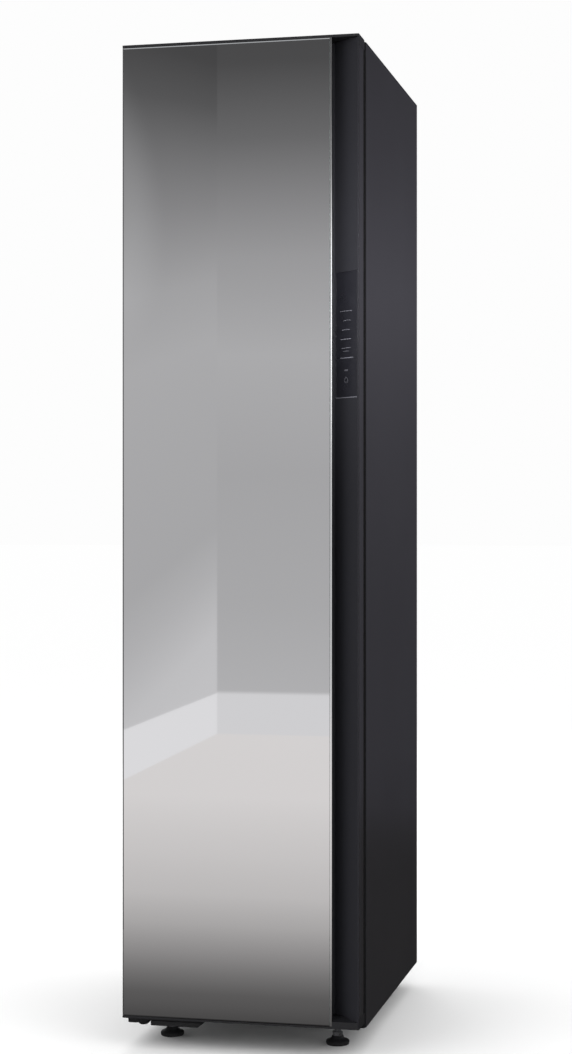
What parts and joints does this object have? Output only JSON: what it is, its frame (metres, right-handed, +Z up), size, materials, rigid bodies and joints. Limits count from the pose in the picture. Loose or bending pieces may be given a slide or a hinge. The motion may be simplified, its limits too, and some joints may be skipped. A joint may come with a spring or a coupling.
{
  "type": "clothes care steam cabinet",
  "caption": "Tall slim clothes care steam cabinet with a full-height mirrored door, recessed grip channel and display, hanging chamber, shelf, water tanks and steam machinery below.",
  "frame": {"origin": "on the floor under the middle of the cabinet", "axes": "+Z up, front towards -Y, +X to the right seen from the front"},
  "size_m": [0.445, 0.632, 1.85],
  "materials": {
    "side_paint": "satin dark grey powder coat",
    "black_plastic": "fine-grained black plastic",
    "pale_plastic": "satin pale grey plastic",
    "grey_plastic": "satin grey plastic",
    "tank_plastic": "smoked gloss plastic",
    "steel": "zinc-plated steel",
    "bright_metal": "polished aluminium",
    "rail_metal": "brushed chrome bar",
    "mirror_glass": "polished mirror glass",
    "display_glass": "black gloss glass",
    "lamp_plastic": "milky diffuser",
    "foam": "light insulating foam",
    "rubber": "black rubber",
    "gasket": "grey sealing profile",
    "board": "green circuit board",
    "fins": "bare aluminium fins",
    "boiler": "heat-resistant plastic"
  },
  "bodies": {
    "cabinet": {"base_pan": "steel", "side_panel_left": "side_paint", "side_panel_right": "side_paint", "back_panel": "steel", "top_cover": "side_paint", "front_frame": "black_plastic", "kick_panel": "black_plastic", "inlet_gland": "black_plastic", "rear_spacer_left": "black_plastic", "rear_spacer_right": "black_plastic", "upper_hinge": "steel", "lower_hinge": "steel", "hinge_shoe": "black_plastic", "liner_left": "pale_plastic", "liner_right": "pale_plastic", "liner_back": "pale_plastic", "liner_ceiling": "pale_plastic", "chamber_floor": "grey_plastic", "insulation_left": "foam", "insulation_right": "foam", "rear_air_duct": "foam", "ceiling_duct": "foam", "hanger_rail": "rail_metal", "lamp_lens": "lamp_plastic", "tank_bay": "grey_plastic", "compressor": "side_paint", "evaporator": "fins", "condenser": "fins", "steam_generator": "boiler", "steam_pipe": "rubber", "steam_outlet": "grey_plastic", "drain_pump": "grey_plastic", "supply_pump": "grey_plastic", "blower_housing": "grey_plastic", "blower_motor": "steel", "control_box": "pale_plastic"},
    "door": {"door_frame": "black_plastic", "mirror_panel": "mirror_glass", "mirror_trim": "bright_metal", "grip_channel": "black_plastic", "display_window": "display_glass", "display_board": "board", "door_top_cap": "black_plastic", "door_bottom_cap": "black_plastic", "door_liner": "pale_plastic", "door_gasket": "gasket"},
    "supply_tank": {"supply_tank": "tank_plastic", "supply_tank_lid": "black_plastic"},
    "drain_tank": {"drain_tank": "tank_plastic", "drain_tank_lid": "black_plastic"},
    "shelf": {"shelf": "pale_plastic"},
    "lint_filter": {"lint_filter": "grey_plastic"},
    "impeller": {"blower_impeller": "black_plastic"},
    "hanger_left": {"hanger_left": "black_plastic"},
    "hanger_middle": {"hanger_middle": "black_plastic"},
    "hanger_right": {"hanger_right": "black_plastic"},
    "foot_front_left": {"foot_front_left": "black_plastic"},
    "foot_front_right": {"foot_front_right": "black_plastic"},
    "foot_rear_left": {"foot_rear_left": "black_plastic"},
    "foot_rear_right": {"foot_rear_right": "black_plastic"}
  },
  "joints": [
    {"name": "door_hinge", "type": "hinge", "parent": "cabinet", "child": "door", "pos_m": [-0.2105, -0.29, 0.95], "axis": [0, 0, -1], "range_deg": [0, 120]},
    {"name": "supply_tank_slide", "type": "slide", "parent": "cabinet", "child": "supply_tank", "axis": [0, -1, 0], "range_m": [0, 0.02]},
    {"name": "drain_tank_slide", "type": "slide", "parent": "cabinet", "child": "drain_tank", "axis": [0, -1, 0], "range_m": [0, 0.02]},
    {"name": "shelf_slide", "type": "slide", "parent": "cabinet", "child": "shelf", "axis": [0, -1, 0], "range_m": [0, 0.02]},
    {"name": "lint_filter_lift", "type": "slide", "parent": "cabinet", "child": "lint_filter", "axis": [0, 0, 1], "range_m": [0, 0.08]},
    {"name": "impeller_spin", "type": "hinge", "parent": "cabinet", "child": "impeller", "pos_m": [0, 0.26, 0.27], "axis": [0, 1, 0], "continuous": true},
    {"name": "hanger_left_swing", "type": "hinge", "parent": "cabinet", "child": "hanger_left", "pos_m": [-0.11, 0.007, 1.7], "axis": [1, 0, 0], "range_deg": [-10, 10]},
    {"name": "hanger_middle_swing", "type": "hinge", "parent": "cabinet", "child": "hanger_middle", "pos_m": [0, 0.007, 1.7], "axis": [1, 0, 0], "range_deg": [-10, 10]},
    {"name": "hanger_right_swing", "type": "hinge", "parent": "cabinet", "child": "hanger_right", "pos_m": [0.11, 0.007, 1.7], "axis": [1, 0, 0], "range_deg": [-10, 10]},
    {"name": "foot_front_left_turn", "type": "hinge", "parent": "cabinet", "child": "foot_front_left", "pos_m": [-0.16, -0.205, 0.02], "axis": [0, 0, 1], "range_deg": [-180, 180]},
    {"name": "foot_front_right_turn", "type": "hinge", "parent": "cabinet", "child": "foot_front_right", "pos_m": [0.16, -0.205, 0.02], "axis": [0, 0, 1], "range_deg": [-180, 180]},
    {"name": "foot_rear_left_turn", "type": "hinge", "parent": "cabinet", "child": "foot_rear_left", "pos_m": [-0.16, 0.27, 0.02], "axis": [0, 0, 1], "range_deg": [-180, 180]},
    {"name": "foot_rear_right_turn", "type": "hinge", "parent": "cabinet", "child": "foot_rear_right", "pos_m": [0.16, 0.27, 0.02], "axis": [0, 0, 1], "range_deg": [-180, 180]}
  ]
}
